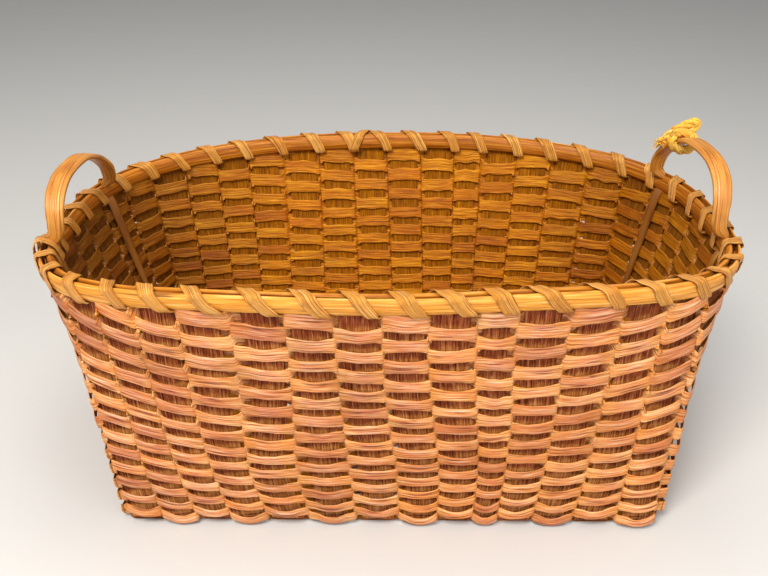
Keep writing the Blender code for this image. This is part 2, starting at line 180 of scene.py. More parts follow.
# ---- smooth curves -----------------------------------------------------------------
def spline(keys, per, closed=False):
    """Catmull-Rom through key rows; per samples for each span."""
    keys = np.asarray(keys, float)
    n = len(keys)
    spans = n if closed else n - 1
    out = []
    t = np.arange(per)[:, None] / per
    for i in range(spans):
        if closed:
            p0, p1, p2, p3 = (keys[(i + k) % n] for k in (-1, 0, 1, 2))
        else:
            p1, p2 = keys[i], keys[i + 1]
            p0 = keys[i - 1] if i else 2 * p1 - p2
            p3 = keys[i + 2] if i + 2 < n else 2 * p2 - p1
        out.append(0.5 * (2 * p1 + (p2 - p0) * t + (2 * p0 - 5 * p1 + 4 * p2 - p3) * t ** 2
                          + (3 * p1 - p0 - 3 * p2 + p3) * t ** 3))
    if not closed:
        out.append(keys[-1:])
    return np.vstack(out)


RIM_CACHE = {}


def rim_smooth(q, drop, out):
    """Point of the rim at q stakes round (whole numbers are stake middles), smooth all round."""
    out_lo, out_hi = -12.0, 12.0
    corner = []
    for o in (out_lo, out_hi):
        for d in (-10.0, 25.0):
            key = (o, d)
            if key not in RIM_CACHE:
                RIM_CACHE[key] = np.array([gap_point(i, d, o) for i in range(STAKES)])
            pts = RIM_CACHE[key]
            g = q - 0.5
            i = math.floor(g)
            t = g - i
            p0, p1, p2, p3 = (pts[(i + k) % STAKES] for k in (-1, 0, 1, 2))
            corner.append(0.5 * (2 * p1 + (p2 - p0) * t + (2 * p0 - 5 * p1 + 4 * p2 - p3) * t * t
                                 + (3 * p1 - p0 - 3 * p2 + p3) * t ** 3))
    fo, fd = (out - out_lo) / (out_hi - out_lo), (drop + 10.0) / 35.0
    lo = corner[0] * (1 - fd) + corner[1] * fd
    hi = corner[2] * (1 - fd) + corner[3] * fd
    return lo * (1 - fo) + hi * fo


def unit(v):
    return v / np.maximum(np.linalg.norm(v, axis=-1, keepdims=True), 1e-12)


def smooth_noise(n, step, scale, closed=False):
    """A gently wandering line of n values with a knot every step samples."""
    k = max(4, int(round(n / step)))
    v = rng.normal(0, scale, k)
    x = np.arange(n) / n * k
    i = np.floor(x).astype(int)
    f = x - i
    f = f * f * (3 - 2 * f)
    a, b = v[i % k], v[(i + 1) % k if closed else np.minimum(i + 1, k - 1)]
    return a * (1 - f) + b * f


# ---- mesh --------------------------------------------------------------------------
def tube(C, X, Y, hw, ht, closed=False, n=12, power=3.2, crown=0.0, data=None, fibre=0.0, run=10):
    """Rings of a rounded section swept along a line: X is across, Y is out of the wide face.
    fibre is the height of the long fibres that stand out of the faces, run their length in rings."""
    C, X, Y = (np.asarray(a, float) for a in (C, X, Y))
    m = len(C)
    hw, ht, crown = (np.broadcast_to(np.asarray(a, float), (m,)) for a in (hw, ht, crown))
    ang = 2 * math.pi * (np.arange(n) + 0.5) / n
    ca, sa = np.cos(ang), np.sin(ang)
    ax, th = np.sign(ca) * np.abs(ca) ** (2 / power), np.sign(sa) * np.abs(sa) ** (2 / power)
    rise = ht[:, None] * th + crown[:, None] * (1 - ax ** 2)
    if fibre:
        rise = rise + np.sign(th) * np.stack([smooth_noise(m, run, fibre, closed) for _ in range(n)], 1)
    P = C[:, None, :] + X[:, None, :] * (hw[:, None] * ax)[:, :, None] + Y[:, None, :] * rise[:, :, None]
    arc = np.concatenate(([0.0], np.cumsum(np.linalg.norm(np.diff(C, axis=0), axis=1))))
    total = arc[-1] + np.linalg.norm(C[0] - C[-1])
    i, k = np.meshgrid(np.arange(m if closed else m - 1), np.arange(n), indexing="ij")
    j, l = (i + 1) % m, (k + 1) % n
    quads = np.stack((i * n + k, j * n + k, j * n + l, i * n + l), -1).reshape(-1, 4)
    ua, ub = arc[i], np.where(j == 0, total, arc[j])
    uvs = np.stack((np.stack((ua, ax[k] * hw[i]), -1), np.stack((ub, ax[k] * hw[j]), -1),
                    np.stack((ub, ax[l] * hw[j]), -1), np.stack((ua, ax[l] * hw[i]), -1)), -2).reshape(-1, 4, 2)
    caps = []
    if not closed:
        first, last = np.arange(n)[::-1], np.arange((m - 1) * n, m * n)
        caps = [(first, np.stack((np.full(n, arc[0]), ax[::-1] * hw[0]), -1)),
                (last, np.stack((np.full(n, arc[-1]), ax * hw[-1]), -1))]
    attrs = {"side": np.tile(th, m), "edge": np.tile(np.abs(ax), m)}
    for key, value in (data or {}).items():
        attrs[key] = np.repeat(np.broadcast_to(np.asarray(value, float), (m,)), n)
    # turn the faces outward whatever way the section runs
    if np.dot(np.cross(P[0, 0] - C[0], P[0, 1] - C[0]), C[1] - C[0]) > 0:
        quads, uvs = quads[:, ::-1], uvs[:, ::-1]
        caps = [(v[::-1], u[::-1]) for v, u in caps]
    return P.reshape(-1, 3), quads, uvs, caps, attrs


def build(name, pieces, mat, nodes=()):
    """One object of several swept pieces."""
    verts, loops, uvs, starts, attrs, base, at = [], [], [], [], {}, 0, 0
    keys = sorted({k for p in pieces for k in p[4]})
    for P, quads, quad_uv, caps, A in pieces:
        verts.append(P)
        loops.append((quads + base).ravel())
        uvs.append(quad_uv.reshape(-1, 2))
        starts.append(at + 4 * np.arange(len(quads)))
        at += 4 * len(quads)
        for v, u in caps:
            loops.append(v + base)
            uvs.append(u)
            starts.append(np.array([at]))
            at += len(v)
        for k in keys:
            attrs.setdefault(k, []).append(A.get(k, np.zeros(len(P))))
        base += len(P)
    verts, loops, uvs, starts = np.vstack(verts) * MM, np.concatenate(loops), np.vstack(uvs) * 0.01, np.concatenate(starts)
    mesh = bpy.data.meshes.new(name)
    mesh.vertices.add(len(verts))
    mesh.vertices.foreach_set("co", verts.astype(np.float32).ravel())
    mesh.loops.add(len(loops))
    mesh.loops.foreach_set("vertex_index", loops.astype(np.int32))
    mesh.polygons.add(len(starts))
    mesh.polygons.foreach_set("loop_start", starts.astype(np.int32))
    mesh.update(calc_edges=True)
    layer = mesh.uv_layers.new(name="UVMap")
    layer.data.foreach_set("uv", uvs.astype(np.float32).ravel())
    for k in keys:
        att = mesh.attributes.new(k, "FLOAT", "POINT")
        att.data.foreach_set("value", np.concatenate(attrs[k]).astype(np.float32))
    mesh.polygons.foreach_set("use_smooth", np.ones(len(mesh.polygons), bool))
    mesh.update()
    obj = bpy.data.objects.new(name, mesh)
    bpy.context.scene.collection.objects.link(obj)
    mesh.materials.append(mat)
    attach(obj, "root")
    if nodes:
        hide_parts(*nodes)
    return obj


# ---- materials ---------------------------------------------------------------------
class Nodes:
    """Short names for building a node tree."""

    def __init__(self, name):
        self.mat = bpy.data.materials.new(name)
        self.mat.use_nodes = True
        self.t = self.mat.node_tree
        self.bsdf = self.t.nodes["Principled BSDF"]

    def link(self, a, b):
        self.t.links.new(a, b)

    def new(self, kind, **values):
        n = self.t.nodes.new(kind)
        for k, v in values.items():
            setattr(n, k, v)
        return n

    def attr(self, name):
        n = self.new("ShaderNodeAttribute", attribute_name=name)
        return n.outputs["Fac"]

    def mapped(self, scale, coord="UV"):
        tc = self.new("ShaderNodeTexCoord")
        mp = self.new("ShaderNodeMapping")
        mp.inputs["Scale"].default_value = scale
        self.link(tc.outputs[coord], mp.inputs["Vector"])
        return mp.outputs["Vector"]

    def place(self, axis):
        n = self.new("ShaderNodeSeparateXYZ")
        self.link(self.mapped((1, 1, 1), "Object"), n.inputs[0])
        return n.outputs[axis]

    def painted_end_shade(self, colour, dark):
        """Painted shade: darker towards the two ends of the basket, more so at -X."""
        x = self.place("X")
        colour = self.mix(self.remap(x, -0.25, -0.10, 0.62, 0.0), colour, dark)
        return self.mix(self.remap(x, 0.13, 0.25, 0.0, 0.38), colour, dark)

    def noise(self, vector, scale, detail=4.0, rough=0.55, distortion=0.0, w=None):
        n = self.new("ShaderNodeTexNoise", noise_dimensions="4D" if w is not None else "3D")
        n.inputs["Scale"].default_value = scale
        n.inputs["Detail"].default_value = detail
        n.inputs["Roughness"].default_value = rough
        n.inputs["Distortion"].default_value = distortion
        self.link(vector, n.inputs["Vector"])
        if w is not None:
            self.link(w, n.inputs["W"])
        return self.remap(n.outputs["Fac"], 0.30, 0.70, 0.0, 1.0)

    def ramp(self, fac, stops):
        n = self.new("ShaderNodeValToRGB")
        e = n.color_ramp.elements
        while len(e) < len(stops):
            e.new(0.5)
        for el, (pos, col) in zip(e, stops):
            el.position = pos
            el.color = (*col, 1) if len(col) == 3 else col
        self.link(fac, n.inputs["Fac"])
        return n.outputs["Color"]

    def mix(self, fac, a, b, blend="MIX"):
        n = self.new("ShaderNodeMix", data_type="RGBA", blend_type=blend)
        for value, socket in ((fac, n.inputs[0]), (a, n.inputs[6]), (b, n.inputs[7])):
            if hasattr(value, "is_linked") or hasattr(value, "node"):
                self.link(value, socket)
            else:
                socket.default_value = value if isinstance(value, (int, float)) else (*value, 1)
        return n.outputs[2]

    def math(self, op, a, b=0.0, c=0.0):
        n = self.new("ShaderNodeMath", operation=op)
        for value, socket in zip((a, b, c), n.inputs):
            if hasattr(value, "node"):
                self.link(value, socket)
            else:
                socket.default_value = value
        return n.outputs[0]

    def remap(self, value, a, b, c, d):
        n = self.new("ShaderNodeMapRange")
        for v, s in zip((a, b, c, d), (1, 2, 3, 4)):
            n.inputs[s].default_value = v
        self.link(value, n.inputs[0])
        return n.outputs[0]

    def finish(self, colour, rough, height, strength=0.5, distance=0.0005, specular=0.35):
        self.link(colour, self.bsdf.inputs["Base Color"])
        self.link(rough, self.bsdf.inputs["Roughness"])
        self.bsdf.inputs["Specular IOR Level"].default_value = specular
        b = self.new("ShaderNodeBump")
        b.inputs["Strength"].default_value = strength
        b.inputs["Distance"].default_value = distance
        self.link(height, b.inputs["Height"])
        self.link(b.outputs["Normal"], self.bsdf.inputs["Normal"])
        return self.mat


def lin(hexcode):
    """sRGB hex to linear colour."""
    c = [int(hexcode[i:i + 2], 16) / 255 for i in (0, 2, 4)]
    return tuple(v / 12.92 if v <= 0.04045 else ((v + 0.055) / 1.055) ** 2.4 for v in c)


def grain(m, along=1.5, across=20.0, detail=6.0, w=None):
    """Long fibres: noise stretched along the strip, in UV (1 = 100 mm)."""
    return m.noise(m.mapped((along, across, 1.0)), 3.0, detail, 0.62, 0.25, w)


def weaver_material():
    m = Nodes("weaver_detail")
    side, edge, rnd, tuck, lift = m.attr("side"), m.attr("edge"), m.attr("rnd"), m.attr("tuck"), m.attr("row")
    fine = grain(m, 1.3, 36.0, 8.0, lift)
    line = m.noise(m.mapped((1.0, 26.0, 1.0)), 2.6, 3.0, 0.5, 0.7, lift)
    coarse = m.noise(m.mapped((3.0, 10.0, 1.0)), 2.2, 4.0, 0.6, 0.4, lift)
    blotch = m.noise(m.mapped((1, 1, 1), "Object"), 16.0, 4.0, 0.6)
    wide = m.noise(m.mapped((1, 1, 1), "Object"), 5.0, 3.0, 0.5)
    outer = m.ramp(fine, ((0.04, lin("843816")), (0.30, lin("d07840")), (0.58, lin("f0a068")), (0.92, lin("ffdab0"))))
    outer = m.mix(m.remap(coarse, 0.45, 0.95, 0.0, 0.55), outer, lin("d68f80"))
    outer = m.mix(m.remap(wide, 0.40, 0.9, 0.0, 0.50), outer, lin("ea9440"), "MIX")
    outer = m.mix(m.remap(line, 0.60, 0.84, 0.0, 0.85), outer, lin("662810"))
    outer = m.mix(m.remap(line, 0.36, 0.12, 0.0, 0.65), outer, lin("ffe2ba"))
    # painted highlight: the outer float ends, where tuck is high, turn a paler gold
    tip = m.ramp(fine, ((0.1, lin("ae5818")), (0.45, lin("ea9a40")), (0.92, lin("ffdc94"))))
    outer = m.mix(m.math("MULTIPLY", tuck, 0.52), outer, tip)
    outer = m.mix(m.remap(edge, 0.78, 1.0, 0.0, 0.40), outer, lin("f6b870"))
    inner = m.ramp(fine, ((0.05, lin("7e3e00")), (0.33, lin("be7000")), (0.62, lin("dc8e04")), (0.95, lin("fab828"))))
    inner = m.mix(m.remap(coarse, 0.5, 0.95, 0.0, 0.5), inner, lin("b85e00"))
    inner = m.mix(m.remap(line, 0.72, 0.95, 0.0, 0.55), inner, lin("7a3c08"))
    inner = m.mix(m.remap(edge, 0.80, 1.0, 0.0, 0.35), inner, lin("f8ac20"))
    # painted shade: the inner faces darken towards the basket's ends, most at -X
    inner = m.painted_end_shade(inner, lin("3c1a00"))
    tint = m.ramp(rnd, ((0.0, lin("d8b4a4")), (0.30, lin("f2e2da")), (0.65, lin("ffffff")), (1.0, lin("ffe8bc"))))
    face = m.mix(m.remap(side, -0.4, 0.4, 0.0, 1.0), inner, outer)
    face = m.mix(0.75, face, tint, "MULTIPLY")
    face = m.mix(m.remap(blotch, 0.0, 0.5, 0.35, 0.0), face, lin("7c3f1c"))
    rough = m.remap(fine, 0.0, 1.0, 0.62, 0.38)
    height = m.math("ADD", fine, m.math("ADD", coarse, m.math("MULTIPLY", line, -0.8)))
    return m.finish(face, rough, height, 0.8, 0.0007, 0.30)


def stake_material():
    m = Nodes("stake_detail")
    side, rowc, rnd = m.attr("side"), m.attr("rowc"), m.attr("rnd")
    lift = m.math("MULTIPLY", rnd, 19.0)
    fibre = m.noise(m.mapped((6.0, 44.0, 1.0)), 3.0, 4.0, 0.7, 0.15, lift)
    fine = m.noise(m.mapped((1.6, 30.0, 1.0)), 3.0, 7.0, 0.65, 0.1, lift)
    slow = m.noise(m.mapped((1.2, 1.6, 1.0)), 6.0, 2.0, 0.5, 0.0, lift)
    ragged = m.math("ADD", m.math("MULTIPLY_ADD", fibre, 0.16, -0.08), m.math("MULTIPLY_ADD", slow, 0.18, -0.09))
    gap = m.math("FRACT", m.math("ADD", m.math("MULTIPLY", rowc, 0.5), ragged))
    # outer stake patches: stained colour with painted shade at the top of each patch, under the float above, and a lit
    # warmer colour at its foot, mixed over the patch height
    dark = m.ramp(fine, ((0.05, lin("2c0804")), (0.35, lin("6e2812")), (0.62, lin("a24e28")), (0.92, lin("d88c5a"))))
    patch_lit_tone = m.ramp(fine, ((0.05, lin("7a3010")), (0.40, lin("d07c34")), (0.92, lin("f8be72"))))
    painted_patch_light = m.ramp(gap, ((0.0, (0.5,) * 3), (0.40, (0.85,) * 3), (0.48, (0.62,) * 3), (0.55, (0.28,) * 3),
                          (0.63, (0.06,) * 3), (1.0, (0.0,) * 3)))
    outer = m.mix(painted_patch_light, dark, patch_lit_tone)
    inner = m.ramp(fine, ((0.05, lin("663000")), (0.4, lin("9c5800")), (0.7, lin("b66e04")), (0.95, lin("d89418"))))
    # painted shade: the stakes' inner faces darken towards the basket's ends, most at -X
    inner = m.painted_end_shade(inner, lin("2c1200"))
    face = m.mix(m.remap(side, -0.4, 0.4, 0.0, 1.0), inner, outer)
    blotch = m.noise(m.mapped((1, 1, 1), "Object"), 19.0, 4.0, 0.6)
    face = m.mix(m.remap(blotch, 0.0, 0.5, 0.28, 0.0), face, lin("55270f"))
    rough = m.remap(fine, 0.0, 1.0, 0.8, 0.5)
    return m.finish(face, rough, m.math("ADD", fine, fibre), 0.9, 0.0007, 0.15)


def rim_material():
    m = Nodes("rim_detail")
    rnd = m.math("MULTIPLY", m.attr("rnd"), 5.0)
    fine = grain(m, 0.7, 24.0, 8.0, rnd)
    streak = m.noise(m.mapped((0.5, 9.0, 1.0)), 3.0, 4.0, 0.55, 0.5, rnd)
    crack = m.noise(m.mapped((0.55, 22.0, 1.0)), 2.0, 2.0, 0.5, 1.0, rnd)
    face = m.ramp(fine, ((0.05, lin("985010")), (0.30, lin("d28428")), (0.60, lin("e8a03c")), (0.92, lin("fccc7c"))))
    face = m.mix(m.remap(streak, 0.55, 0.95, 0.0, 0.55), face, lin("c98238"))
    face = m.mix(m.remap(streak, 0.40, 0.10, 0.0, 0.40), face, lin("f8bc70"))
    face = m.mix(m.remap(crack, 0.78, 0.95, 0.0, 0.8), face, lin("6a3812"))
    # faces towards the inside of the basket take the inner colour: the splint's golden inner side, darkened as painted
    # shade
    inner = m.ramp(fine, ((0.05, lin("6c3000")), (0.5, lin("a65a04")), (0.95, lin("cc8418"))))
    face = m.mix(m.remap(m.attr("side"), -0.5, 0.3, 0.95, 0.0), face, inner)
    face = m.mix(m.math("MULTIPLY", m.attr("within"), m.remap(m.attr("side"), 0.0, 0.6, 0.0, 0.92)), face, inner)
    blotch = m.noise(m.mapped((1, 1, 1), "Object"), 12.0, 5.0, 0.6)
    face = m.mix(m.remap(blotch, 0.0, 0.5, 0.35, 0.0), face, lin("ad6a28"))
    rough = m.remap(fine, 0.0, 1.0, 0.52, 0.30)
    return m.finish(face, rough, m.math("ADD", fine, streak), 0.6, 0.0006, 0.24)


def lash_material():
    m = Nodes("lash_detail")
    rnd = m.math("MULTIPLY", m.attr("rnd"), 9.0)
    lines = m.noise(m.mapped((0.30, 62.0, 1.0)), 3.0, 2.0, 0.5, 0.1, rnd)
    fine = grain(m, 1.5, 40.0, 6.0, rnd)
    face = m.ramp(lines, ((0.04, lin("8c420c")), (0.26, lin("cc7c20")), (0.58, lin("e69a32")), (0.92, lin("fcca78"))))
    face = m.mix(m.remap(fine, 0.5, 1.0, 0.0, 0.4), face, lin("f2c57a"))
    # painted shade: dark outlines along the lash edges
    face = m.mix(m.remap(m.attr("edge"), 0.86, 1.0, 0.0, 0.45), face, lin("9a5a20"))
    blotch = m.noise(m.mapped((1, 1, 1), "Object"), 26.0, 4.0, 0.6)
    face = m.mix(m.remap(blotch, 0.0, 0.5, 0.35, 0.0), face, lin("b87228"))
    rough = m.remap(fine, 0.0, 1.0, 0.56, 0.36)
    return m.finish(face, rough, m.math("ADD", m.math("MULTIPLY", lines, 1.6), fine), 0.9, 0.0007, 0.45)


def handle_material():
    m = Nodes("handle_detail")
    fine = grain(m, 0.7, 34.0, 8.0)
    streak = m.noise(m.mapped((0.45, 20.0, 1.0)), 2.6, 4.0, 0.6, 0.5)
    face = m.ramp(fine, ((0.05, lin("7e3a08")), (0.33, lin("c07420")), (0.62, lin("da9236")), (0.92, lin("f6c268"))))
    face = m.mix(m.remap(streak, 0.6, 0.95, 0.0, 0.6), face, lin("96501a"))
    blotch = m.noise(m.mapped((1, 1, 1), "Object"), 20.0, 5.0, 0.6)
    face = m.mix(m.remap(blotch, 0.0, 0.6, 0.5, 0.0), face, lin("94541c"))
    face = m.mix(m.remap(m.attr("edge"), 0.8, 1.0, 0.0, 0.3), face, lin("e6ae62"))
    # painted shade: the handle darkens below the rim, where its legs run down inside the basket
    face = m.mix(m.remap(m.place("Z"), 0.175, 0.228, 0.72, 0.0), face, lin("5a2a06"))
    rough = m.remap(fine, 0.0, 1.0, 0.46, 0.26)
    return m.finish(face, rough, m.math("ADD", fine, streak), 0.5, 0.0006, 0.5)


def rope_material():
    m = Nodes("rope_detail")
    rnd = m.math("MULTIPLY", m.attr("rnd"), 11.0)
    hair = m.noise(m.mapped((5.0, 60.0, 1.0)), 3.0, 6.0, 0.7, 0.6, rnd)
    face = m.ramp(hair, ((0.05, lin("b06c16")), (0.33, lin("f0b03a")), (0.62, lin("ffce58")), (0.92, lin("ffeca0"))))
    blotch = m.noise(m.mapped((1, 1, 1), "Object"), 70.0, 4.0, 0.6)
    face = m.mix(m.remap(blotch, 0.0, 0.6, 0.4, 0.0), face, lin("b67a34"))
    return m.finish(face, m.remap(hair, 0.0, 1.0, 0.95, 0.72), hair, 1.0, 0.0007, 0.15)


weaver_mat, stake_mat, rim_mat = weaver_material(), stake_material(), rim_material()
lash_mat, handle_mat, rope_mat = lash_material(), handle_material(), rope_material()

# ---- weavers -----------------------------------------------------------------------
heights = [1.0 + (ROW_TAPER - 1.0) * r / (ROWS - 1) for r in range(ROWS)]
cuts = np.concatenate(([0.0], np.cumsum(heights) / sum(heights)))


# Outer floats near the front corners slant with the loosened weave there.
SLANT = {43: -0.18, 0: -0.48, 1: -0.50, 2: -0.38, 3: -0.20, 4: -0.08, 10: 0.08, 11: 0.20, 12: 0.34, 13: 0.40, 14: 0.18}


def weaver_row(r):
    c = SPLINT / 2 + CLEAR + WEAVER / 2 + 0.05
    keys = []
    foot = 1 - r / (ROWS - 1)
    for i, stake in enumerate(WALL):
        woven = from_top(stake, HOOP_HEIGHT + LASH_SLOT) * stake.length
        lo = (0.3 + cuts[r] * (woven - 0.3)) / stake.length
        hi = (0.3 + cuts[r + 1] * (woven - 0.3)) / stake.length
        mid = (lo + hi) / 2
        outside = (i + r) % 2
        sign = 1 if outside else -1
        off = c + 0.008 * stake.twist
        bulge = (1.5 + 1.7 * foot ** 2 if outside else 1.2) + rng.uniform(-0.35, 0.5)
        tall = (hi - lo) / 2 * stake.length
        grow = rng.uniform(1.02, 1.24) if outside else rng.uniform(1.08, 1.22)
        lift = float(np.clip(rng.normal(0, 0.11), -0.2, 0.2)) * tall
        tilt = (float(np.clip(rng.normal(0, 0.09), -0.15, 0.15)) + (SLANT.get(i, 0.0) if outside else 0.0)) * tall
        sag = 0.45 + 2.6 * foot ** 6 if outside else -0.15
        spare = 1.1 if r == ROWS - 1 else 0.0      # the top row fills up to the hoops
        rnd = rng.uniform(0, 1)
        half = stake.width / 2 + 0.5
        reach = rng.uniform(0.40, 0.50) if outside else rng.uniform(0.36, 0.44)
        if i in (0, 13, 14, 15, 41, 42, 43) and outside:      # looser round the ends
            bulge += rng.uniform(0.0, 1.5)
        if outside:
            shape = ((-1, -1, 1.40, 0.22, 1.0), (-1, 0, 1.10, 0.75, 0.75), (-0.5, 0, 0.99, 0.97, 0.08), (0, 0, 1.0, 1.0, 0.0),
                     (0.5, 0, 0.99, 0.97, 0.08), (1, 0, 1.10, 0.75, 0.75), (1, 1, 1.40, 0.22, 1.0))
        else:
            shape = ((-1, -1, 1.40, 0.05, 1.0), (-1, 0, 0.96, 0.62, 0.4), (-0.5, 0, 1.0, 0.95, 0.0), (0, 0, 1.05, 1.0, 0.0),
                     (0.5, 0, 1.0, 0.95, 0.0), (1, 0, 0.96, 0.62, 0.4), (1, 1, 1.40, 0.05, 1.0))
        for share, far, high, extra, tuck in shape:
            along = share * half
            if far:
                other = WALL[(i + far) % STAKES]
                gap = np.linalg.norm(other.at(mid) - stake.at(mid)) - stake.width / 2 - other.width / 2
                along += far * max(0.0, gap - 1.0) * reach
            wide = 1.0 if far else grow
            low = sag * (1 - min(1.0, (abs(share) + 0.35 * abs(far)) ** 2))
            sc = mid + (spare + lift * (1 - 0.85 * abs(share)) + tilt * share - low) / stake.length
            _, t, n = stake.frame(sc)
            sc -= along * t[2] / (stake.top[2] - stake.foot[2])
            p = stake.at(sc, along, sign * (off + bulge * extra))
            keys.append((*p, *stake.up, *n, (tall + spare) * high * wide, tuck, rnd))
    line = spline(keys, 3, closed=True)
    C, X, N = line[:, :3], unit(line[:, 3:6]), line[:, 6:9]
    T = unit(np.roll(C, -1, 0) - np.roll(C, 1, 0))
    X = unit(X - T * (X * T).sum(1, keepdims=True))
    Y = np.cross(T, X)
    Y *= np.sign((Y * N).sum(1, keepdims=True))
    m = len(C)
    hw = np.maximum(line[:, 9] + smooth_noise(m, 3, 0.16, True), 1.4)
    return tube(C, X, Y, hw, WEAVER / 2 + smooth_noise(m, 6, 0.03, True), closed=True, n=18, power=3.0, crown=0.3,
                fibre=0.075, run=9, data={"tuck": np.clip(line[:, 10], 0, 1), "rnd": np.clip(line[:, 11], 0, 1), "row": r * 3.7})


for r in range(ROWS):
    name = "weaver_row_%02d" % (r + 1)
    build("woven_" + name, [weaver_row(r)], weaver_mat, [name])


# ---- stakes ------------------------------------------------------------------------
def wall_rings(stake):
    """Rings up one stake: centre, across, normal, half width and the row coordinate."""
    out = []
    top = from_top(stake, 1.8)
    steps = 56
    woven = from_top(stake, HOOP_HEIGHT + LASH_SLOT)
    for k in range(steps + 1):
        s = top * k / steps
        c, t, n = stake.frame(s)
        row = float(np.interp(s / woven, cuts, np.arange(ROWS + 1)))
        push = 0.22 * math.cos(math.pi * (row - 0.5 + stake.index + 1)) if s < woven else 0.0
        out.append((*(c + n * push), *t, *n, stake.width / 2, row + stake.index % 2 + 1))
    return out


def flip(rings):
    return [(*r[:3], *(-np.array(r[3:6])), *r[6:]) for r in rings]


BASE_MID, BASE_STEP = 2.1, SPLINT + CLEAR


def stake_piece(line):
    line = np.array(line)
    C, N = line[:, :3], unit(line[:, 6:9])
    T = unit(np.gradient(C, axis=0))
    X = unit(line[:, 3:6] - T * (line[:, 3:6] * T).sum(1, keepdims=True))
    Y = np.cross(X, T)
    Y *= np.sign((Y * N).sum(1, keepdims=True))
    m = len(C)
    hw = line[:, 9] + smooth_noise(m, 3, 0.20) + 2.1
    return tube(C, X, Y, hw, SPLINT / 2 + smooth_noise(m, 8, 0.02), n=32, power=4.0, fibre=0.06, run=8,
                data={"rowc": line[:, 10], "rnd": rng.uniform(0, 1)})


for j in range(NC):
    front, back = WALL[j], WALL[2 * NC + NL - 1 - j]
    x, rings = CROSS_X[j], list(reversed(wall_rings(WALL[j])))
    rings = rings[:-1]
    ys = np.concatenate(([-BASE_HALF_WIDTH, -BASE_HALF_WIDTH + 0.5, -BASE_HALF_WIDTH + 2.2, -BASE_HALF_WIDTH + 4.8],
                         np.linspace(-BASE_HALF_WIDTH + 8, BASE_HALF_WIDTH - 8, 60),
                         [BASE_HALF_WIDTH - 4.8, BASE_HALF_WIDTH - 2.2, BASE_HALF_WIDTH - 0.5, BASE_HALF_WIDTH]))
    for y in ys:
        d = max(0.0, 5.0 - (BASE_HALF_WIDTH - abs(y))) / 5.0
        z = BASE_MID + (FOOT_Z - BASE_MID) * d ** 2.6
        n = unit(np.array((0.0, math.copysign(d * d, y), -(1 - d * d))))
        rings.append((x, y, z, 1, 0, 0, *n, front.width / 2, 0.0))
    rings += flip(wall_rings(back))[1:]
    name = "cross_splint_%02d" % (j + 1)
    build("split_" + name, [stake_piece(rings)], stake_mat, [name])

for k in range(NL):
    right, left = WALL[NC + k], WALL[STAKES - 1 - k]
    y = long_y(k)
    xl, xr = BASE_SHIFT_X - BASE_HALF_LENGTH, BASE_SHIFT_X + BASE_HALF_LENGTH
    keys = []

    def level(j):
        return BASE_MID + (BASE_STEP if (j + k) % 2 else -BASE_STEP)

    flat = []
    for j in range(NC):
        w = (NARROW_WIDTH if j == NARROW_SPLINT else STAKE_WIDTH) / 2 + 0.5
        flat += [(CROSS_X[j] - w, level(j)), (CROSS_X[j] + w, level(j))]
    flat = [(xl, FOOT_Z)] + [(xl + 1.3, level(0) + 1.5)] + flat + [(xr - 1.3, level(NC - 1) + 1.5)] + [(xr, FOOT_Z)]
    fx, fz = np.array([p[0] for p in flat]), np.array([p[1] for p in flat])
    rings = flip(list(reversed(wall_rings(left))))[:-1]
    xs = np.concatenate(([xl, xl + 0.5, xl + 1.3], np.linspace(xl + 4, xr - 4, 150), [xr - 1.3, xr - 0.5, xr]))
    for x in xs:
        z = float(np.interp(x, fx, fz))
        rings.append((x, y, z, 0, 1, 0, *unit(np.array((0.0 if abs(x - BASE_SHIFT_X) < BASE_HALF_LENGTH - 2 else math.copysign(1.0, x), 0, -1.0))),
                      STAKE_WIDTH / 2, 0.0))
    rings += wall_rings(right)[1:]
    name = "long_splint_%02d" % (k + 1)
    build("split_" + name, [stake_piece(rings)], stake_mat, [name])

# ---- rim hoops ---------------------------------------------------------------------
OUTER_MID = SPLINT / 2 + HOOP_CLEAR + HOOP / 2
INNER_MID = -(SPLINT / 2 + 0.4 + LEG + 0.5 + HOOP / 2)


def hoop(mid, half, crown, seed):
    qs = np.arange(STAKES * 7) / 7.0
    C = np.array([rim_smooth(q, HOOP_HEIGHT / 2, mid) for q in qs])
    top = np.array([rim_smooth(q, 0.0, mid) for q in qs])
    outp = np.array([rim_smooth(q, HOOP_HEIGHT / 2, mid + 1.0) for q in qs])
    X, N = unit(top - C), unit(outp - C)
    T = unit(np.roll(C, -1, 0) - np.roll(C, 1, 0))
    X = unit(X - T * (X * T).sum(1, keepdims=True))
    Y = np.cross(T, X)
    Y *= np.sign((Y * N).sum(1, keepdims=True))
    inward = crown < 0
    if inward:
        Y, crown = -Y, -crown
    m = len(C)
    return tube(C, X, Y, HOOP_HEIGHT / 2 + smooth_noise(m, 9, 0.18, True), half + smooth_noise(m, 9, 0.06, True),
                closed=True, n=44, power=3.0, fibre=0.09, run=16, crown=crown + smooth_noise(m, 12, 0.1, True), data={"rnd": seed, "within": 1.0 if inward else 0.0})


build("bent_rim_hoop_outer", [hoop(OUTER_MID - 0.3, HOOP / 2 + 0.35, 1.1, 0.2)], rim_mat, ["rim_hoop_outer"])
build("bent_rim_hoop_inner", [hoop(INNER_MID + 1.35, HOOP / 2 + 1.35, -0.9, 0.7)], rim_mat, ["rim_hoop_inner"])

